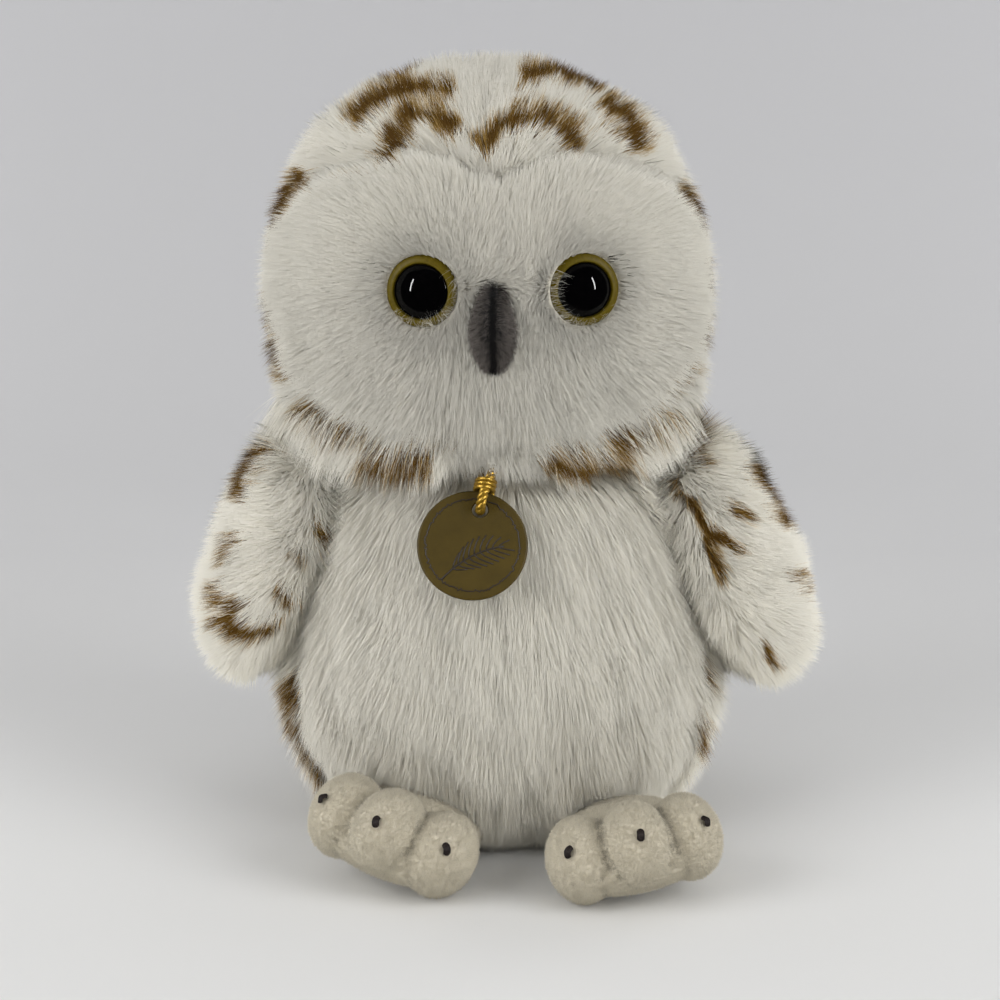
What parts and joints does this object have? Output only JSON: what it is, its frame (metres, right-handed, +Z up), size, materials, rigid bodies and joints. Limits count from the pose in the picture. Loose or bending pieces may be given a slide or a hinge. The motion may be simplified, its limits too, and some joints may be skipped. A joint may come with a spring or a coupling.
{
  "type": "plush owl",
  "caption": "Seated stuffed owl in long barred fur, with glassy eyes, a felted beak, short-plush feet and a round tag on a cord.",
  "frame": {"origin": "on the floor, at the middle of the flat base panel", "axes": "+Z up, along the height; the owl faces -Y; +X to its own left"},
  "size_m": [0.1803, 0.1784, 0.226],
  "materials": {
    "white_fur": "long matte pile, warm white",
    "barred_fur": "long matte pile, white with brown bars",
    "cream_plush": "short velvety plush, cream",
    "beak_plush": "short felted pile, charcoal",
    "iris_plastic": "satin, olive gold",
    "pupil_plastic": "polished black",
    "washer_plastic": "natural moulded",
    "claw_thread": "embroidered, brown black",
    "tag_leatherette": "satin embossed, olive bronze",
    "gold_cord": "twisted metallic thread, gold",
    "fibre_fill": "loose polyester fibre, hidden",
    "pellets": "cloth bag of pellets, hidden"
  },
  "bodies": {
    "torso": {"body_front_panel": "white_fur", "body_back_panel": "barred_fur", "base_panel": "white_fur", "pellet_bag": "pellets", "body_fill": "fibre_fill"},
    "head": {"hood_panel": "barred_fur", "face_panel_left": "white_fur", "face_panel_right": "white_fur", "head_fill": "fibre_fill", "beak_panel_left": "beak_plush", "beak_panel_right": "beak_plush", "beak_fill": "fibre_fill", "eye_iris_left": "iris_plastic", "eye_pupil_left": "pupil_plastic", "eye_washer_left": "washer_plastic", "eye_iris_right": "iris_plastic", "eye_pupil_right": "pupil_plastic", "eye_washer_right": "washer_plastic"},
    "wing_left": {"wing_outer_panel_left": "barred_fur", "wing_inner_panel_left": "white_fur", "wing_fill_left": "fibre_fill"},
    "wing_right": {"wing_outer_panel_right": "barred_fur", "wing_inner_panel_right": "white_fur", "wing_fill_right": "fibre_fill"},
    "tail": {"tail_upper_panel": "barred_fur", "tail_lower_panel": "white_fur", "tail_fill": "fibre_fill"},
    "foot_left": {"foot_upper_left": "cream_plush", "foot_sole_left": "cream_plush", "foot_fill_left": "fibre_fill", "claw_inner_left": "claw_thread", "claw_middle_left": "claw_thread", "claw_outer_left": "claw_thread"},
    "foot_right": {"foot_upper_right": "cream_plush", "foot_sole_right": "cream_plush", "foot_fill_right": "fibre_fill", "claw_inner_right": "claw_thread", "claw_middle_right": "claw_thread", "claw_outer_right": "claw_thread"},
    "cord": {"tag_cord": "gold_cord"},
    "tag": {"tag_disc": "tag_leatherette"}
  },
  "joints": [
    {"name": "head_turn", "type": "hinge", "parent": "torso", "child": "head", "pos_m": [-0.0035, -0.003, 0.118], "axis": [0, 0, 1], "range_deg": [-20, 20], "stiffness_Nm_per_rad": 0.05},
    {"name": "wing_left_lift", "type": "hinge", "parent": "torso", "child": "wing_left", "pos_m": [0.0485, -0.005, 0.11], "axis": [-0.2924, -0.9563, 0], "range_deg": [0, 40], "stiffness_Nm_per_rad": 0.02},
    {"name": "wing_right_lift", "type": "hinge", "parent": "torso", "child": "wing_right", "pos_m": [-0.0485, -0.005, 0.114], "axis": [-0.2924, 0.9563, 0], "range_deg": [0, 40], "stiffness_Nm_per_rad": 0.02},
    {"name": "foot_left_flex", "type": "hinge", "parent": "torso", "child": "foot_left", "pos_m": [0.0345, -0.05, 0.02], "axis": [-1, 0, 0], "range_deg": [0, 18], "stiffness_Nm_per_rad": 0.03},
    {"name": "foot_right_flex", "type": "hinge", "parent": "torso", "child": "foot_right", "pos_m": [-0.0217, -0.0505, 0.022], "axis": [-1, 0, 0], "range_deg": [0, 18], "stiffness_Nm_per_rad": 0.03},
    {"name": "tail_lift", "type": "hinge", "parent": "torso", "child": "tail", "pos_m": [0, 0.049, 0.018], "axis": [1, 0, 0], "range_deg": [0, 40], "stiffness_Nm_per_rad": 0.02},
    {"name": "cord_swing", "type": "hinge", "parent": "torso", "child": "cord", "pos_m": [-0.0026, -0.03906, 0.1163], "axis": [-1, 0, 0], "range_deg": [0, 8]},
    {"name": "tag_tilt", "type": "hinge", "parent": "cord", "child": "tag", "pos_m": [-0.00555, -0.05071, 0.10665], "axis": [-0.9781, 0.0944, 0.1853], "range_deg": [-3, 12]}
  ]
}
